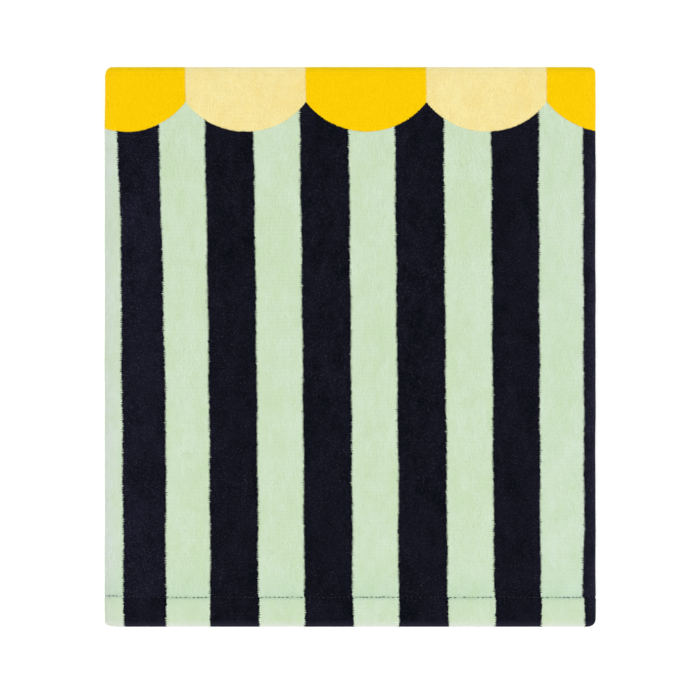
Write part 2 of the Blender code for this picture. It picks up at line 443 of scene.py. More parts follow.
# The print, in the cloth's own u (across) and v (along), in metres
stripes = {
    # Where each colour begins at half length, in mm
    "edges": [-177.2, -144.0, -109.8, -72.3, -37.0, 0.8, 35.9, 73.8, 109.8, 146.6, 180.4],
    "pitch": 36.6,  # past the outermost ones, in mm
    "extra": 5,
    "lean": 0.0088,  # how far they lean to the left for each metre along
    "spreading": -0.031,  # and how much less, for each metre to the right
    "bow": 0.012,  # how they bend to the left towards both ends
    "bowing": -0.09,  # and how much less, for each metre to the right
    "bentFor": 0.22,  # no farther than this from half length
}
scallops = {
    "start": -124.1 * mm,
    "blocks": (-1, 5),  # counted from the start
    "pitch": 92.3 * mm,
    "tip": (farStart + farEnd) / 2,  # the v where the towel folds
    "valley": 31 * mm,  # from the fold to the points between the scallops
    "sagitta": 23 * mm,  # how far the scallops hang below those
    "straying": 0.35,  # how much of the stripes' straying their edges have
}

# How far the stripes on the hem stand to the right of those they meet at the stitches
hemJog = {"shift": 0.58 * mm, "widening": 0.0032, "height": 0.25 * mm, "length": 0.131, "start": 0.6}

# The rows of loops: the print's lines step a little to the left and to the right from row to row
loops = {"pitch": 1.72 * mm, "step": 0.20 * mm}

# Where the cloth was pulled a little sideways before it was printed: place, size and how far, in mm
sways = table(
    "u v wide long shift",
    (180, -3, 20, 45, 1.45),
    (-177, 275, 18, 50, -1.1),
    (-145, 135, 16, 70, -0.9),
    (-145, 340, 16, 45, 1.0),
    (55, 95, 35, 50, -0.6),
    (95, 15, 45, 45, -0.6),
)

# How the print strays from its lines: waves that run over the cloth, given by their lengths each way. The
# last is the loops' own, which turns to the left halfway between a line's teeth
strays = table(
    "height across along start",
    (0.24 * mm, 0.061, 0.083, 0.4),
    (0.15 * mm, -0.043, 0.031, 2.1),
    (0.13 * mm, 0.019, 0.0093, 4.0),
    (0.15 * mm, -0.0081, 0.0067, 0.7),
    (0.13 * mm, 0.0063, 0.0043, 3.3),
    (0.17 * mm, 0.0097, 0.0029, 1.1),
    (0.20 * mm, -0.013, 0.00213, 2.7),
    (0.14 * mm, 0.017, 0.00184, 5.2),
    (loops["step"], 8.0, loops["pitch"], 2 * math.pi * hemDepth / loops["pitch"] - 1.5 * math.pi),
)

# Each dye drifts between two tones. At the hem's end and at the sides it is paler, with painted sheen: at the
# sides, by how much, how far in and how sharply; and it is paler in a wide rim along them. By the stitches
# and on the far fold it is darker, with painted shade. Grain is how uneven it is from tuft to tuft, patches
# from place to place, lint the share of paler specks, and sheen how much its ends catch the light
plain = (1.0, 1.0, 1.0)
usual = {"sideReach": 10 * mm, "sideRise": 1.0, "rim": plain, "paintedSeamShade": plain, "paintedFoldShade": plain}
dyes = {
    "mint": {
        "warm": (0.472, 0.586, 0.390),
        "cool": (0.528, 0.623, 0.496),
        # the end and side tones are painted sheen
        "end": (0.606, 0.634, 0.586),
        "side": (1.020, 0.950, 1.080),
        "sideReach": 14 * mm,
        "sideRise": 1.25,
        "rim": (1.0, 1.0, 1.035),
        # painted shade of the furrow: darker by the stitches
        "paintedSeamShade": (0.910, 0.958, 0.968),
        "grain": 0.02,
        "patches": 0.04,
        "lint": 0.03,
        "sheen": 0.06,
    },
    "navy": {
        "warm": (0.0068, 0.0070, 0.0147),
        "cool": (0.0020, 0.0028, 0.0056),
        # the end and side tones are painted sheen
        "end": (0.0210, 0.0192, 0.0350),
        "side": (2.15, 2.15, 1.92),
        "sideReach": 7 * mm,
        "rim": (1.46, 1.30, 1.40),
        "grain": 4.6,
        "patches": 1.6,
        "lint": 0.52,
        "sheen": 0.02,
    },
    "gold": {
        "warm": (0.779, 0.511, 0.0002),
        "cool": (0.769, 0.504, 0.0002),
        # the end and side tones are painted sheen
        "end": (0.830, 0.570, 0.0100),
        "side": (1.0, 1.01, 15.0),
        # painted shade where the far fold turns away from the light
        "paintedFoldShade": (0.84, 0.90, 3.4),
        "grain": 0.03,
        "patches": 0.02,
        "lint": 0.0,
        "sheen": 0.0,
    },
    "cream": {
        "warm": (0.729, 0.597, 0.237),
        "cool": (0.737, 0.656, 0.331),
        # the end and side tones are painted sheen
        "end": (0.790, 0.715, 0.460),
        "side": (1.045, 1.06, 1.28),
        # painted shade where the far fold turns away from the light
        "paintedFoldShade": (0.94, 1.0, 1.25),
        "grain": 0.07,
        "patches": 0.13,
        "lint": 0.06,
        "sheen": 0.05,
    },
}
dyes = {name: usual | dye for name, dye in dyes.items()}
topRise = 1.5 * mm  # how far above its middle the top strip counts as the top
# How far in from the hem's end the painted sheen reaches
endReach = 5.5 * mm
rimReach = {"from": 50 * mm, "over": 8 * mm}  # how far in from the sides a dye's rim tone begins
# How far the painted shade reaches from the stitches, and the one below from the far fold
seamShadeReach = 11 * mm
foldShadeReach = 4.5 * mm
hemSide = 5.0  # how many times faster the painted shade by the stitches dies away over the hem
kinds = list(dyes)


def stripeEdges():
    edges = list(stripes["edges"])
    for i in range(stripes["extra"]):
        edges.insert(0, edges[0] - stripes["pitch"])
        edges.append(edges[-1] + stripes["pitch"])
    return np.array(edges) * mm


def strayAt(u, v):
    total = 0
    for wave in strays:
        angle = 2 * math.pi * (u / wave["across"] + v / wave["along"])
        total = total + wave["height"] * np.sin(angle + wave["start"])
    return total


def swayAt(u, v):
    total = 0
    for sway in sways:
        sideways = (u - sway["u"] * mm) / (sway["wide"] * mm)
        lengthways = (v - sway["v"] * mm) / (sway["long"] * mm)
        total = total + sway["shift"] * mm * np.exp(-(sideways**2) - lengthways**2)
    return total


def straightened(u, v):
    # The place across the cloth that the blocks and the stripes go by: with their lean and bend, then with
    # the hem's shift, the straying and the pulls as well
    height = np.minimum(v + stitchY, stripes["bentFor"])  # from the towel's middle
    bend = (stripes["bow"] + stripes["bowing"] * u) * height
    across = u + (stripes["lean"] + stripes["spreading"] * u + bend) * height
    jog = hemJog["height"] * np.sin(2 * math.pi * across / hemJog["length"] + hemJog["start"])
    jog = jog - hemJog["shift"] - hemJog["widening"] * across
    return across, across + np.where(v < 0, jog, 0) + strayAt(u, v) + swayAt(u, v)


def bandRadius():
    return ((scallops["pitch"] / 2) ** 2 + scallops["sagitta"] ** 2) / (2 * scallops["sagitta"])


def bandReach(block):
    # How far the scalloped band goes from the fold, at a place given in blocks
    part = (block - np.floor(block)) * scallops["pitch"] - scallops["pitch"] / 2
    radius = bandRadius()
    return scallops["valley"] + np.sqrt(radius**2 - part**2) - (radius - scallops["sagitta"])


def printedColour(u, v):
    # Which dye the pile has at a place, as its number in kinds
    across, striped = straightened(u, v)
    stripe = (np.searchsorted(stripeEdges(), striped) - stripes["extra"]) % 2
    stray = scallops["straying"] * strayAt(u, v)
    block = (across - scallops["start"]) / scallops["pitch"]
    banded = np.abs(v - scallops["tip"]) + stray < bandReach(block)
    odd = np.floor(block + stray / scallops["pitch"]).astype(int) % 2
    return np.where(banded, 3 - odd, stripe)


def feed(node, values):
    # Sets or links a node's inputs by their names, or by i and their number
    for key, value in values.items():
        socket = node.inputs[int(key[1:]) if key[0] == "i" and key[1:].isdigit() else key]
        if isinstance(value, bpy.types.NodeSocket):
            node.id_data.links.new(value, socket)
        elif socket.type == "RGBA":
            socket.default_value = (*value, 1)
        else:
            socket.default_value = value


def nodeIn(tree, kind, settings=None, **values):
    node = tree.nodes.new(kind)
    for key, value in (settings or {}).items():
        setattr(node, key, value)
    feed(node, values)
    return node


def sums(operation, *values, clamp=False):
    # A Math node on numbers and other nodes' outputs, in the tree of the first of those
    tree = next(value for value in values if isinstance(value, bpy.types.NodeSocket)).id_data
    settings = {"operation": operation, "use_clamp": clamp}
    inputs = {f"i{number}": value for number, value in enumerate(values)}
    return nodeIn(tree, "ShaderNodeMath", settings, **inputs).outputs[0]


def scaled(value, times, plus, clamp=False):
    return sums("MULTIPLY_ADD", value, times, plus, clamp=clamp)


def unevenness(tree, where, size, detail=1.0, rough=0.5):
    # Noise about zero, from about -0.5 to 0.5, whose lumps have a given size in metres
    noise = nodeIn(tree, "ShaderNodeTexNoise", Vector=where, Scale=1 / size, Detail=detail, Roughness=rough)
    return sums("SUBTRACT", noise.outputs["Fac"], 0.5)


def mixed(tree, share, first, second, blend="MIX"):
    settings = {"data_type": "RGBA", "blend_type": blend}
    return nodeIn(tree, "ShaderNodeMix", settings, i0=share, i6=first, i7=second).outputs[2]


def shaded(tree, colour, tone):
    shade = nodeIn(tree, "ShaderNodeCombineXYZ", X=tone, Y=tone, Z=tone).outputs[0]
    return mixed(tree, 1.0, colour, shade, "MULTIPLY")


def ownPlace(tree):
    return nodeIn(tree, "ShaderNodeTexCoord").outputs["Object"]


# The look of the sheared pile, whatever its dye
pileLook = {
    "tuftSize": 1.2 * mm,
    "patchSize": 9 * mm,
    "patchLong": 1.8,  # patches are this much longer along the cloth than across
    "driftSize": 30 * mm,
    "driftRough": 0.95,
    "driftSpread": 4.2,  # how sharply the two tones part
    "lintTone": (0.03, 0.03, 0.03),  # how much paler than the dye
    "lintSize": 1.2 * mm,
    "lintFrom": 0.06,
    "lintRise": 8.0,
    "darkest": 0.2,  # of the tone of tufts, streaks and patches together
    "streakSize": 2.4 * mm,
    "streakLong": 9.0,
    "streakTone": 0.02,
    "bump": 0.3 * mm,
    "bumpStrength": 0.06,
    "roughness": 0.95,
    "sheenRoughness": 0.35,
    "specular": 0.04,
}


def stretched(tree, where, long):
    return nodeIn(tree, "ShaderNodeMapping", Vector=where, Scale=(1, 1 / long, 1)).outputs[0]


def fromEdges(tree):
    # How far a place is past the towel's sides, its hem's end and its far fold, less than nothing inside
    # them; how far it is from the stitches, where the hem's side counts for more; and whether it is beyond
    # them, and on top
    x, y, z = nodeIn(tree, "ShaderNodeSeparateXYZ", Vector=ownPlace(tree)).outputs
    pastSeam = sums("SUBTRACT", y, stitchY)
    return {
        "side": sums("SUBTRACT", sums("ABSOLUTE", x), halfWidth),
        "end": sums("SUBTRACT", nearEdge, y),
        "fold": sums("SUBTRACT", y, farEdge),
        "seam": sums("MAXIMUM", pastSeam, sums("MULTIPLY", pastSeam, -hemSide)),
        "beyond": sums("GREATER_THAN", pastSeam, 0.0),
        "onTop": scaled(sums("SUBTRACT", z, frontZ), 1 / topRise, 0.0, clamp=True),
    }


def drifting(tree, where, look):
    # A dye's colour, drifting slowly between its two tones
    where = stretched(tree, where, pileLook["patchLong"])
    drift = unevenness(tree, where, pileLook["driftSize"], 4.0, pileLook["driftRough"])
    share = scaled(drift, pileLook["driftSpread"], 0.5, clamp=True)
    return mixed(tree, share, look["warm"], look["cool"])


def paintedSheenAndShade(tree, colour, look, place):
    # A dye's colour with painted sheen at the sides and the hem's end, paler in a wide rim along the sides,
    # and with painted shade by the stitches and on the far fold
    atSide = scaled(place["side"], look["sideRise"] / look["sideReach"], look["sideRise"], clamp=True)
    atRim = scaled(place["side"], 1 / rimReach["over"], rimReach["from"] / rimReach["over"], clamp=True)
    atEnd = scaled(place["end"], 1 / endReach, 1.0, clamp=True)
    # Painted sheen at the sides, on top; paler in a wide rim along them; painted shade by the stitches and on
    # the far fold
    shares = {
        "side": sums("MULTIPLY", atSide, place["onTop"]),
        "rim": sums("MULTIPLY", atRim, place["beyond"]),
        "paintedSeamShade": sums("EXPONENT", sums("MULTIPLY", place["seam"], -1 / seamShadeReach)),
        "paintedFoldShade": scaled(place["fold"], 1 / foldShadeReach, 1.0, clamp=True),
    }
    for tone, share in shares.items():
        colour = mixed(tree, share, colour, look[tone], "MULTIPLY")
    # Painted sheen at the hem's end, on top
    return mixed(tree, sums("MULTIPLY", atEnd, place["onTop"]), colour, look["end"])


def pileSurface(tree, where, colour, look, place=None):
    # Joins a colour to the shader, with the tone of tufts, streaks and patches, with lint and with bump, and
    # with painted sheen and painted shade where its place from the edges is given
    tufts = unevenness(tree, where, pileLook["tuftSize"], 2.0)
    streaks = unevenness(tree, stretched(tree, where, pileLook["streakLong"]), pileLook["streakSize"])
    patches = unevenness(tree, stretched(tree, where, pileLook["patchLong"]), pileLook["patchSize"], 3.0)
    tone = scaled(tufts, look["grain"], 1.0)
    tone = scaled(streaks, pileLook["streakTone"], tone)
    tone = scaled(patches, look["patches"], tone)
    colour = shaded(tree, colour, sums("MAXIMUM", tone, pileLook["darkest"]))
    rise = pileLook["lintRise"]
    specks = unevenness(tree, where, pileLook["lintSize"])
    specks = scaled(specks, rise, -rise * pileLook["lintFrom"], clamp=True)
    colour = mixed(tree, sums("MULTIPLY", specks, look["lint"]), colour, pileLook["lintTone"], "ADD")
    relief = {"Height": tufts, "Strength": pileLook["bumpStrength"], "Distance": pileLook["bump"]}
    surface = {
        "Base Color": paintedSheenAndShade(tree, colour, look, place) if place else colour,
        "Normal": nodeIn(tree, "ShaderNodeBump", **relief).outputs[0],
        "Roughness": pileLook["roughness"],
        "Specular IOR Level": pileLook["specular"],
        "Sheen Weight": look["sheen"],
        "Sheen Roughness": pileLook["sheenRoughness"],
    }
    feed(tree.nodes["Principled BSDF"], surface)


def newMaterial(name):
    material = bpy.data.materials.new(name)
    material.use_nodes = True
    return material, material.node_tree


def strayIn(u, v):
    # The same waves as strayAt
    total = 0.0
    for wave in strays:
        angle = scaled(u, 2 * math.pi / wave["across"], wave["start"])
        angle = scaled(v, 2 * math.pi / wave["along"], angle)
        total = scaled(sums("SINE", angle), wave["height"], total)
    return total


def swayIn(u, v):
    # The same pulls as swayAt
    total = 0.0
    for sway in sways:
        sideways = scaled(u, 1 / (sway["wide"] * mm), -sway["u"] / sway["wide"])
        lengthways = scaled(v, 1 / (sway["long"] * mm), -sway["v"] / sway["long"])
        away = scaled(sideways, sideways, sums("MULTIPLY", lengthways, lengthways))
        total = scaled(sums("EXPONENT", sums("MULTIPLY", away, -1.0)), sway["shift"] * mm, total)
    return total


def straightenedIn(u, v, stray):
    # The same two places across the cloth as straightened gives
    height = sums("MINIMUM", sums("ADD", v, stitchY), stripes["bentFor"])
    bend = scaled(u, stripes["bowing"], stripes["bow"])
    leaning = scaled(u, stripes["spreading"], stripes["lean"])
    across = scaled(scaled(bend, height, leaning), height, u)
    angle = scaled(across, 2 * math.pi / hemJog["length"], hemJog["start"])
    jog = scaled(sums("SINE", angle), hemJog["height"], -hemJog["shift"])
    jog = scaled(across, -hemJog["widening"], jog)
    jog = sums("MULTIPLY", jog, sums("LESS_THAN", v, 0.0))
    striped = sums("ADD", sums("ADD", across, jog), stray)
    return across, sums("ADD", striped, swayIn(u, v))


def printedTerry():
    # The cloth itself: stripes along it, and the scalloped band across its fold, as printedColour has them
    material, tree = newMaterial("printedTerry")
    cloth = nodeIn(tree, "ShaderNodeUVMap", {"uv_map": "cloth"}).outputs[0]
    u, v = nodeIn(tree, "ShaderNodeSeparateXYZ", Vector=cloth).outputs[:2]
    stray = strayIn(u, v)
    across, striped = straightenedIn(u, v, stray)
    passed = 1.0 * (stripes["extra"] % 2)
    for edge in stripeEdges():
        passed = sums("ADD", sums("GREATER_THAN", striped, edge), passed)
    dark = sums("FLOORED_MODULO", passed, 2.0)

    pitch = scallops["pitch"]
    block = scaled(across, 1 / pitch, -scallops["start"] / pitch)
    part = sums("MULTIPLY", sums("SUBTRACT", sums("FRACT", block), 0.5), pitch)
    radius = bandRadius()
    arc = sums("SQRT", sums("SUBTRACT", radius**2, sums("MULTIPLY", part, part)))
    reach = sums("ADD", arc, scallops["valley"] + scallops["sagitta"] - radius)
    fromFold = sums("ABSOLUTE", sums("SUBTRACT", v, scallops["tip"]))
    banded = sums("LESS_THAN", scaled(stray, scallops["straying"], fromFold), reach)
    strayBlock = scaled(stray, scallops["straying"] / pitch, block)
    odd = sums("FLOORED_MODULO", sums("FLOOR", strayBlock), 2.0)

    place = fromEdges(tree)
    tones = {dye: paintedSheenAndShade(tree, drifting(tree, cloth, look), look, place) for dye, look in dyes.items()}
    striping = mixed(tree, dark, tones["mint"], tones["navy"])
    band = mixed(tree, odd, tones["cream"], tones["gold"])
    pileSurface(tree, cloth, mixed(tree, banded, striping, band), dyes["mint"] | {"lint": 0.0, "sheen": 0.02})
    return material


def dyedPile(name, dye):
    # Tufts of one colour
    material, tree = newMaterial(name)
    where = ownPlace(tree)
    pileSurface(tree, where, drifting(tree, where, dyes[dye]), dyes[dye], fromEdges(tree))
    return material


terry = printedTerry()
for piece in cloths.values():
    piece.data.materials.append(terry)
print("materials: cloth")


# The pile that stands out of the cloth, as tufts of one colour each
pile = {
    "spacing": 1.2 * mm,
    "height": 0.36 * mm,
    "heightSpread": 0.04 * mm,
    "radius": 0.86 * mm,
    "sunk": 0.12 * mm,
    "lean": 0.11,
    "nap": (0.0, -0.10, 0.0),  # which way the pile lies, a little
    "stray": 0.20 * mm,
    "slim": 0.60,  # the size of those at an edge of the print
    "lookRound": 0.7 * mm,
    "endReach": 3.5 * mm,  # how far in from the hem's end the inner faces show
    "bareBesideStitches": 0.45 * mm,
    "floor": 0.15 * mm,
    "rim": 10 * mm,  # how far in from the sides the lower layers show
    "chartRadius": 0.0016,  # of a tuft on its bake map
    "rows": 0.87,  # from one row of tufts to the next, in spacings
    "scatter": 0.22,  # of a tuft along its row, in spacings
    "sizes": (0.8, 1.2),  # times the radius
    "roundEdges": 0.85,  # times the radius where the cloth bends away
    "bent": 0.9,  # where its normal's upright part is less than this
    "underside": {"below": 1.2 * mm, "facing": -0.6},  # none there
}
rng = np.random.default_rng(11)


def unit(vectors):
    return vectors / np.maximum(np.linalg.norm(vectors, axis=-1, keepdims=True), 1e-12)


def outwardNormals(grids, face="outer"):
    # The normals of a shell's outer or inner face, away from the wall between them
    skin = grids[face]
    other = grids["inner" if face == "outer" else "outer"]
    normals = unit(np.cross(np.gradient(skin, axis=1), np.gradient(skin, axis=0)))
    outward = ((skin - other) * normals).sum(-1, keepdims=True)
    return normals * np.where(outward < 0, -1, 1)


def lengthsAlong(line):
    return np.concatenate([[0], np.cumsum(np.linalg.norm(np.diff(line, axis=0), axis=1))])


def sown(grids, spacing, face="outer", flaps=False):
    # Scattered but even places on one face of a shell: point, normal, u and v
    skin = grids[face]
    flap = 0 if flaps else columns["front"]["flap"]
    shown = slice(flap, skin.shape[1] - flap)
    field = np.concatenate([skin, outwardNormals(grids, face), grids["u"][..., None]], 2)[:, shown]
    lengths = lengthsAlong(skin[:, skin.shape[1] // 2])
    found = []
    for i, length in enumerate(np.arange(spacing / 2, lengths[-1], spacing * pile["rows"])):
        at = np.searchsorted(lengths, length) - 1
        share = (length - lengths[at]) / (lengths[at + 1] - lengths[at])
        line = field[at] * (1 - share) + field[at + 1] * share
        v = grids["v"][at] * (1 - share) + grids["v"][at + 1] * share
        reach = lengthsAlong(line[:, :3])
        places = np.arange(spacing * (0.25 + i % 2 / 2), reach[-1], spacing)
        places = np.clip(places + rng.normal(0, spacing * pile["scatter"], len(places)), 0, reach[-1])
        values = [np.interp(places, reach, line[:, k]) for k in range(7)]
        found.append(np.stack([*values, np.full(len(places), v)], 1))
    return np.concatenate(found)


def tuftPoints(roots, normals, heights, radii, leans):
    # Each tuft is a little three-sided spike: its three root corners and its tip
    side = unit(np.cross(normals, np.where(np.abs(normals[:, :1]) < 0.7, [[1.0, 0, 0]], [[0, 1.0, 0]])))
    other = np.cross(normals, side)
    turns = rng.uniform(0, 2 * math.pi, (len(roots), 1)) + np.arange(3) * 2 * math.pi / 3
    ring = side[:, None] * np.cos(turns)[..., None] + other[:, None] * np.sin(turns)[..., None]
    base = roots[:, None] - normals[:, None] * pile["sunk"] + ring * radii[:, None, None]
    tip = roots + unit(normals + leans) * heights[:, None]
    points = np.concatenate([base, tip[:, None]], 1)
    points[..., 2] = np.maximum(points[..., 2], pile["floor"])
    return points


def bakeMap(piece, chart):
    # A second map that lays the piece out in the unit square, for when its colours are baked
    low, high = chart.min(0), chart.max(0)
    chart = 0.01 + 0.98 * (chart - low) / (high - low)
    vertices = np.empty(len(piece.data.loops), dtype=np.int32)
    piece.data.loops.foreach_get("vertex_index", vertices)
    layer = piece.data.uv_layers.new(name="OFBake")
    layer.data.foreach_set("uv", chart[vertices].astype(np.float32).ravel())


def spikes(name, points):
    # Each of four points, as one mesh
    sides = np.array([[0, 1, 3], [1, 2, 3], [2, 0, 3], [0, 2, 1]])
    faces = (np.arange(len(points))[:, None, None] * 4 + sides).reshape(-1, 3)
    return meshFrom(name, points.reshape(-1, 3), faces)


def shownTufts():
    # Where tufts stand: all over the top, and as far in as can be seen on what lies below it
    upper = [sown(shells[name], pile["spacing"]) for name in ("frontThird", "endHem")]
    lower = np.concatenate([sown(shells[name], pile["spacing"]) for name in ("backThird", "middleThird")])
    atEdge = (np.abs(lower[:, 0]) > halfWidth - pile["rim"]) | (lower[:, 1] < nearFold["y"])
    hemEnd = [sown(shells["endHem"], pile["spacing"], face, flaps=True) for face in ("inner", "outer")]
    hemEnd = np.concatenate(hemEnd)
    inside = hemEnd[:, 1] < nearEdge + pile["endReach"]
    inside &= hemEnd[:, 2] < frontZ + fold["hemPuff"] + halfStrip / 2
    found = np.concatenate([*upper, lower[atEdge], hemEnd[inside]])
    under = (found[:, 5] < pile["underside"]["facing"]) & (found[:, 2] < pile["underside"]["below"])
    bare = np.abs(found[:, 7]) < pile["bareBesideStitches"]
    return found[~under & ~bare]


# Where two colours meet, the rows of loops reach across the line in turn: one longer tuft of each
teeth = {
    "pitch": loops["pitch"],
    "reach": 0.16 * mm,  # how far past the line each one stands
    "onHem": 0.1,  # times that on the hem
    "pastStitches": 2.6 * mm,  # how far beyond the stitches they begin again
    "within": 210 * mm,  # of the middle line, for the lines that run along the cloth
    "pastSides": 4 * mm,  # how far past the sides the band's edge is followed
    "upright": -0.3,  # none where the cloth faces further down than this
    "jitter": 0.07 * mm,
    "height": 0.49 * mm,
    "radius": 0.56 * mm,
    "look": 0.5 * mm,  # how far to either side of the line its two colours are read
    "ease": 0.6,  # how much of the way to the line each try goes
    "tries": 20,
    "clear": 0.42 * mm,  # no other tufts this near the line
}


def printLines():
    # Places along every line of the print, as u and v, and which way to look for its two colours
    found = []
    along = np.arange(-hemDepth, scallops["tip"] + scallops["valley"], teeth["pitch"] / 2)
    blocks = scallops["start"] + scallops["pitch"] * np.arange(*scallops["blocks"])
    for lines, which in ((stripeEdges(), 1), (blocks, 0)):
        for line in lines[np.abs(lines) < teeth["within"]]:
            u = np.full(len(along), line)
            for again in range(teeth["tries"]):
                goes = straightened(u, along)[which]
                if not which:
                    goes = goes + scallops["straying"] * strayAt(u, along)
                u = u + teeth["ease"] * (line - goes)
            found.append(np.stack([u, along, np.ones(len(along)), np.zeros(len(along))], 1))
    reach = halfWidth + teeth["pastSides"]
    across = np.arange(-reach, reach, teeth["pitch"] / 2)
    v = np.full(len(across), scallops["tip"] - scallops["valley"])
    for again in range(teeth["tries"]):
        block = (straightened(across, v)[0] - scallops["start"]) / scallops["pitch"]
        stray = scallops["straying"] * strayAt(across, v)
        goes = scallops["tip"] + stray - bandReach(block)
        v = (1 - teeth["ease"]) * v + teeth["ease"] * goes
    found.append(np.stack([across, v, np.zeros(len(across)), np.ones(len(across))], 1))
    return found


def placedAt(grids, u, v):
    # Points and normals of a shell's outer face at places given by u and v
    field = np.concatenate([grids["outer"], outwardNormals(grids)], 2)
    found = []
    for oneU, oneV in zip(u, v):
        at = int(np.clip(np.searchsorted(grids["v"], oneV) - 1, 0, len(grids["v"]) - 2))
        share = (oneV - grids["v"][at]) / (grids["v"][at + 1] - grids["v"][at])
        line = field[at] * (1 - share) + field[at + 1] * share
        places = grids["u"][at] * (1 - share) + grids["u"][at + 1] * share
        found.append([np.interp(oneU, places, line[:, k]) for k in range(6)])
    return np.array(found)


def sownTeeth():
    # The tufts of each colour in turn along the print's lines, as rows like sown's with the colour last
    found = []
    for line in printLines():
        turn = np.arange(len(line)) % 2
        u, v, acrossward, alongward = line.T
        before = printedColour(u - teeth["look"] * acrossward, v - teeth["look"] * alongward)
        after = printedColour(u + teeth["look"] * acrossward, v + teeth["look"] * alongward)
        kept = before != after
        past = np.where(turn, 1, -1) * teeth["reach"] * np.where(v < 0, teeth["onHem"], 1)
        past = past * np.where(np.maximum(before, after) > 1, scallops["straying"], 1)
        places = [u + past * acrossward, v + past * alongward, np.where(turn, before, after)]
        places = np.stack(places, 1)[kept]
        places[:, :2] += rng.normal(0, teeth["jitter"], (len(places), 2))
        for name, there in (("endHem", places[:, 1] < 0), ("frontThird", places[:, 1] >= 0)):
            if there.any():
                u, v, kind = places[there].T
                found.append(np.concatenate([placedAt(shells[name], u, v), places[there]], 1))
    found = np.concatenate(found)
    inFurrow = (found[:, 7] > -pile["bareBesideStitches"]) & (found[:, 7] < teeth["pastStitches"])
    return found[(found[:, 5] > teeth["upright"]) & ~inFurrow]


def chartOf(roots, u, v):
    # Each tuft laid out round its place on the cloth. What lies below the top goes beside it
    below = roots[:, 2] < middleZ + halfStrip
    flat = np.stack([u, v], 1)
    for part in (below, ~below):
        if part.any():
            low, high = flat[part].min(0), flat[part].max(0)
            flat[part] = (flat[part] - low) / np.maximum(high - low, pile["spacing"])
    flat[:, 0] = 0.5 * flat[:, 0] + 0.5 * below
    around = np.array([[0, 1.0], [-0.87, -0.5], [0.87, -0.5], [0, 0]])
    return (flat[:, None] + around * pile["chartRadius"]).reshape(-1, 2)


found = shownTufts()
roots, normals, u, v = found[:, :3], unit(found[:, 3:6]), found[:, 6], found[:, 7]
count = len(found)
heights = rng.normal(pile["height"], pile["heightSpread"], count)
radii = pile["radius"] * rng.uniform(*pile["sizes"], count)
radii = radii * np.where(np.abs(normals[:, 2]) < pile["bent"], pile["roundEdges"], 1)
leans = rng.normal(0, pile["lean"], (count, 3)) + np.array(pile["nap"])
u = u + rng.normal(0, pile["stray"], count)
printed = printedColour(u, v)


def nearLine(reach):
    # Which tufts have a line of the print this near, to either side or along the cloth
    steps = ((-reach, 0), (reach, 0), (0, -reach), (0, reach))
    return np.any([printedColour(u + sideways, v + along) != printed for sideways, along in steps], 0)


radii = radii * np.where(nearLine(pile["lookRound"]), pile["slim"], 1)
kept = ~nearLine(teeth["clear"])
roots, normals, u, v, printed = (values[kept] for values in (roots, normals, u, v, printed))
heights, radii, leans = (values[kept] for values in (heights, radii, leans))
crossing = sownTeeth()
roots = np.concatenate([roots, crossing[:, :3]])
normals = np.concatenate([normals, unit(crossing[:, 3:6])])
u, v = np.concatenate([u, crossing[:, 6]]), np.concatenate([v, crossing[:, 7]])
printed = np.concatenate([printed, crossing[:, 8].astype(int)])
heights = np.concatenate([heights, rng.normal(teeth["height"], pile["heightSpread"], len(crossing))])
radii = np.concatenate([radii, teeth["radius"] * rng.uniform(*pile["sizes"], len(crossing))])
leans = np.concatenate([leans, rng.normal(0, pile["lean"], (len(crossing), 3))])
print("teeth:", len(crossing))
points = tuftPoints(roots, normals, heights, radii, leans)
tufts = {}
for kind, dye in enumerate(kinds):
    look = dyedPile(dye + "Pile", dye)
    halves = {"Left": roots[:, 0] < 0, "Right": roots[:, 0] >= 0} if dye in ("mint", "navy") else {"": True}
    for half, there in halves.items():
        chosen = (printed == kind) & there
        piece = spikes(dye + "Pile" + half, points[chosen])
        bakeMap(piece, chartOf(roots[chosen], u[chosen], v[chosen]))
        piece.data.materials.append(look)
        tufts[dye + half] = piece
        print("pile:", dye, half, int(chosen.sum()), "tufts")


# The row of stitches that holds the hem: one short thread, copied along the furrow
sewing = {
    "colour": (0.011, 0.0145, 0.023),
    "radius": 0.38 * mm,
    "length": 1.25 * mm,  # its straight middle
    "dive": 0.30 * mm,  # how far each end goes out and down
    "steep": 0.7,  # how far down for each step outwards
    "taper": 0.62,
    "pitch": 3.3 * mm,
    "uneven": 0.45,
    "proud": 0.14 * mm,  # how far its middle stands above the furrow
    "wander": 0.25 * mm,
    "slack": 0.15 * mm,
    "lengths": (0.55, 1.25),  # times its own
    "twist": 0.12,
    "fromSides": 1.5 * mm,
    "look": 0.6 * mm,  # how far ahead the row's direction is read
    "plies": 420.0,  # how fine the thread's twist is
    "patchSize": 4 * mm,
    "patches": 0.9,  # how uneven its tone is from place to place
    "bump": 0.05 * mm,
    "bumpStrength": 0.4,
    "roughness": 0.6,
    "specular": 0.3,
}


def grownEnd(piece, way):
    # In edit mode, grows the end face that looks one way along x outwards, down and thinner, twice
    for step in (1, 2):
        bpy.ops.mesh.select_all(action="DESELECT")
        mesh = bmesh.from_edit_mesh(piece.data)
        far = max(mesh.faces, key=lambda face: face.calc_center_median().x * way)
        far.select_set(True)
        bmesh.update_edit_mesh(piece.data)
        centre = far.calc_center_median()
        move = (way * sewing["dive"], 0, -sewing["dive"] * sewing["steep"] * step)
        bpy.ops.mesh.extrude_region_move(TRANSFORM_OT_translate={"value": move})
        pivot = (centre.x + move[0], centre.y, centre.z + move[2])
        bpy.ops.transform.resize(value=(1, sewing["taper"], sewing["taper"]), center_override=pivot)


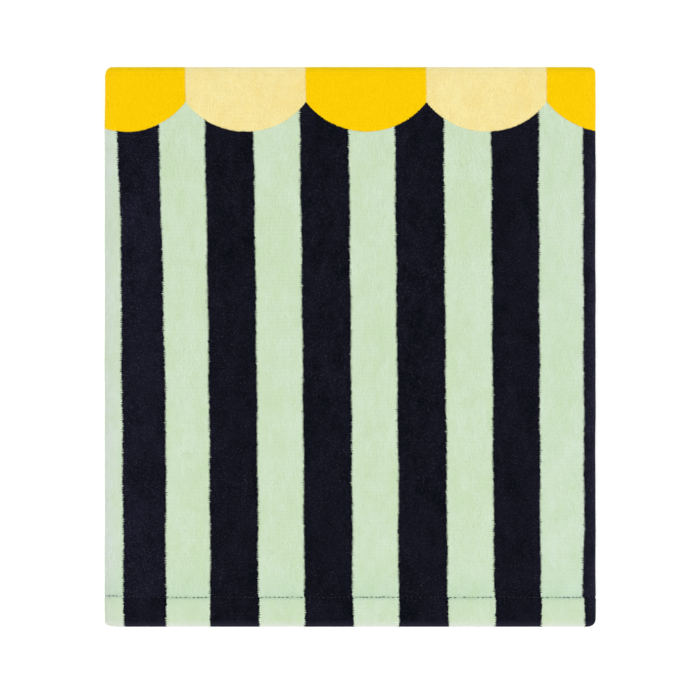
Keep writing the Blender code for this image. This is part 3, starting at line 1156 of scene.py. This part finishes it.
def oneStitch():
    # A short thread lying along x, with its ends going down into the cloth
    bpy.ops.object.select_all(action="DESELECT")
    bpy.ops.mesh.primitive_cylinder_add(
        vertices=6,
        radius=sewing["radius"],
        depth=sewing["length"],
        rotation=(0, math.pi / 2, 0),
    )
    stitch = bpy.context.object
    stitch.name = "hemStitch"
    bpy.ops.object.transform_apply(location=True, rotation=True, scale=True)
    bpy.ops.object.mode_set(mode="EDIT")
    for way in (-1, 1):
        grownEnd(stitch, way)
    bpy.ops.mesh.select_all(action="SELECT")
    bpy.ops.mesh.normals_make_consistent(inside=False)
    bpy.ops.object.mode_set(mode="OBJECT")
    bpy.ops.object.shade_smooth()
    return stitch


def sewnThread():
    material, tree = newMaterial("sewingThread")
    where = ownPlace(tree)
    settings = {"bands_direction": "DIAGONAL"}
    plies = nodeIn(tree, "ShaderNodeTexWave", settings, Vector=where, Scale=sewing["plies"]).outputs["Fac"]
    tone = scaled(unevenness(tree, where, sewing["patchSize"]), sewing["patches"], 1.0)
    relief = {"Height": plies, "Strength": sewing["bumpStrength"], "Distance": sewing["bump"]}
    surface = {
        "Base Color": shaded(tree, sewing["colour"], tone),
        "Normal": nodeIn(tree, "ShaderNodeBump", **relief).outputs[0],
        "Roughness": sewing["roughness"],
        "Specular IOR Level": sewing["specular"],
    }
    feed(tree.nodes["Principled BSDF"], surface)
    return material


def sewnRow(grids):
    # Copies of the stitch along the first row of a shell, from side to side
    chance = random.Random(23)
    flap = columns["front"]["flap"]
    outer = grids["outer"][:, flap : grids["outer"].shape[1] - flap]
    normals = outwardNormals(grids)[:, flap : grids["outer"].shape[1] - flap]
    line = outer[0]
    reach = lengthsAlong(line)
    stitch = oneStitch()
    copies = []
    place = sewing["fromSides"]
    while place < reach[-1] - sewing["fromSides"]:
        where = Vector([np.interp(place, reach, line[:, k]) for k in range(3)])
        ahead = Vector([np.interp(place + sewing["look"], reach, line[:, k]) for k in range(3)])
        up = Vector([np.interp(place, reach, normals[0][:, k]) for k in range(3)]).normalized()
        along = (ahead - where).normalized()
        back = up.cross(along).normalized()
        long = chance.uniform(*sewing["lengths"])
        sink = sewing["proud"] - abs(chance.gauss(0, sewing["slack"]))
        sideways = chance.gauss(0, sewing["wander"])
        turn = Matrix((along, back, along.cross(back))).transposed().to_4x4()
        tilt = Matrix.Rotation(chance.gauss(0, sewing["twist"]), 4, "Z") @ Matrix.Diagonal((long, 1, 1, 1))
        copy = stitch.copy()
        copy.data = stitch.data.copy()
        copy.data.transform(Matrix.Translation(where + up * sink + back * sideways) @ turn @ tilt)
        bpy.context.scene.collection.objects.link(copy)
        copies.append(copy)
        place += sewing["pitch"] * (1 + chance.uniform(-1, 1) * sewing["uneven"] * 0.5)
    bpy.ops.object.select_all(action="DESELECT")
    for copy in copies:
        copy.select_set(True)
    bpy.context.view_layer.objects.active = copies[0]
    bpy.ops.object.join()
    sewn = bpy.context.object
    sewn.name = "hemStitches"
    bpy.data.objects.remove(stitch)
    sewn.data.materials.clear()
    sewn.data.materials.append(sewnThread())
    print("stitches:", len(copies))
    return sewn


hemStitches = sewnRow(shells["frontThird"])


# The floor, the light and the camera
stage = {
    "floor": 3.0,
    "floorColour": (0.90, 0.90, 0.90),
    "floorGlow": 0.22,  # lit from below, as on a light table
    "floorRoughness": 0.9,
    "world": 1.20,
    "key": 15.0,
    "keySize": 2.2,
    "keyPlace": (0.5, -0.8, 2.4),
}
view = {"height": 2.6, "sensor": 36.0, "fieldWidth": 0.5413, "centre": (-0.15 * mm, -2.6 * mm)}


def makeFloor():
    bpy.ops.object.select_all(action="DESELECT")
    bpy.ops.mesh.primitive_plane_add(size=2 * stage["floor"], location=(0, 0, 0))
    floor = bpy.context.object
    floor.name = "paleFloor"
    material, tree = newMaterial("palePaper")
    surface = {
        "Base Color": stage["floorColour"],
        "Roughness": stage["floorRoughness"],
        "Emission Color": (1, 1, 1),
        "Emission Strength": stage["floorGlow"],
    }
    feed(tree.nodes["Principled BSDF"], surface)
    floor.data.materials.append(material)


def makeLights():
    world = bpy.context.scene.world or bpy.data.worlds.new("studio")
    bpy.context.scene.world = world
    world.use_nodes = True
    feed(world.node_tree.nodes["Background"], {"Color": (1, 1, 1), "Strength": stage["world"]})
    lamp = bpy.data.lights.new("softKey", "AREA")
    lamp.shape = "SQUARE"
    lamp.size = stage["keySize"]
    lamp.energy = stage["key"]
    key = placed("softKey", lamp)
    key.location = stage["keyPlace"]
    key.rotation_euler = (-key.location).to_track_quat("-Z", "Y").to_euler()


def makeCamera():
    lens = bpy.data.cameras.new("fromAbove")
    lens.sensor_width = view["sensor"]
    top = frontZ + halfStrip
    lens.lens = view["sensor"] * (view["height"] - top) / view["fieldWidth"]
    camera = placed("fromAbove", lens)
    camera.location = (*view["centre"], view["height"])
    bpy.context.scene.camera = camera


makeFloor()
makeLights()
makeCamera()
bpy.context.scene.view_settings.view_transform = "Standard"

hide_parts("outer_cloth")
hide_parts("folded_layers")
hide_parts("end_hem")
for piece in (*cloths.values(), *tufts.values(), hemStitches):
    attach(piece, body)
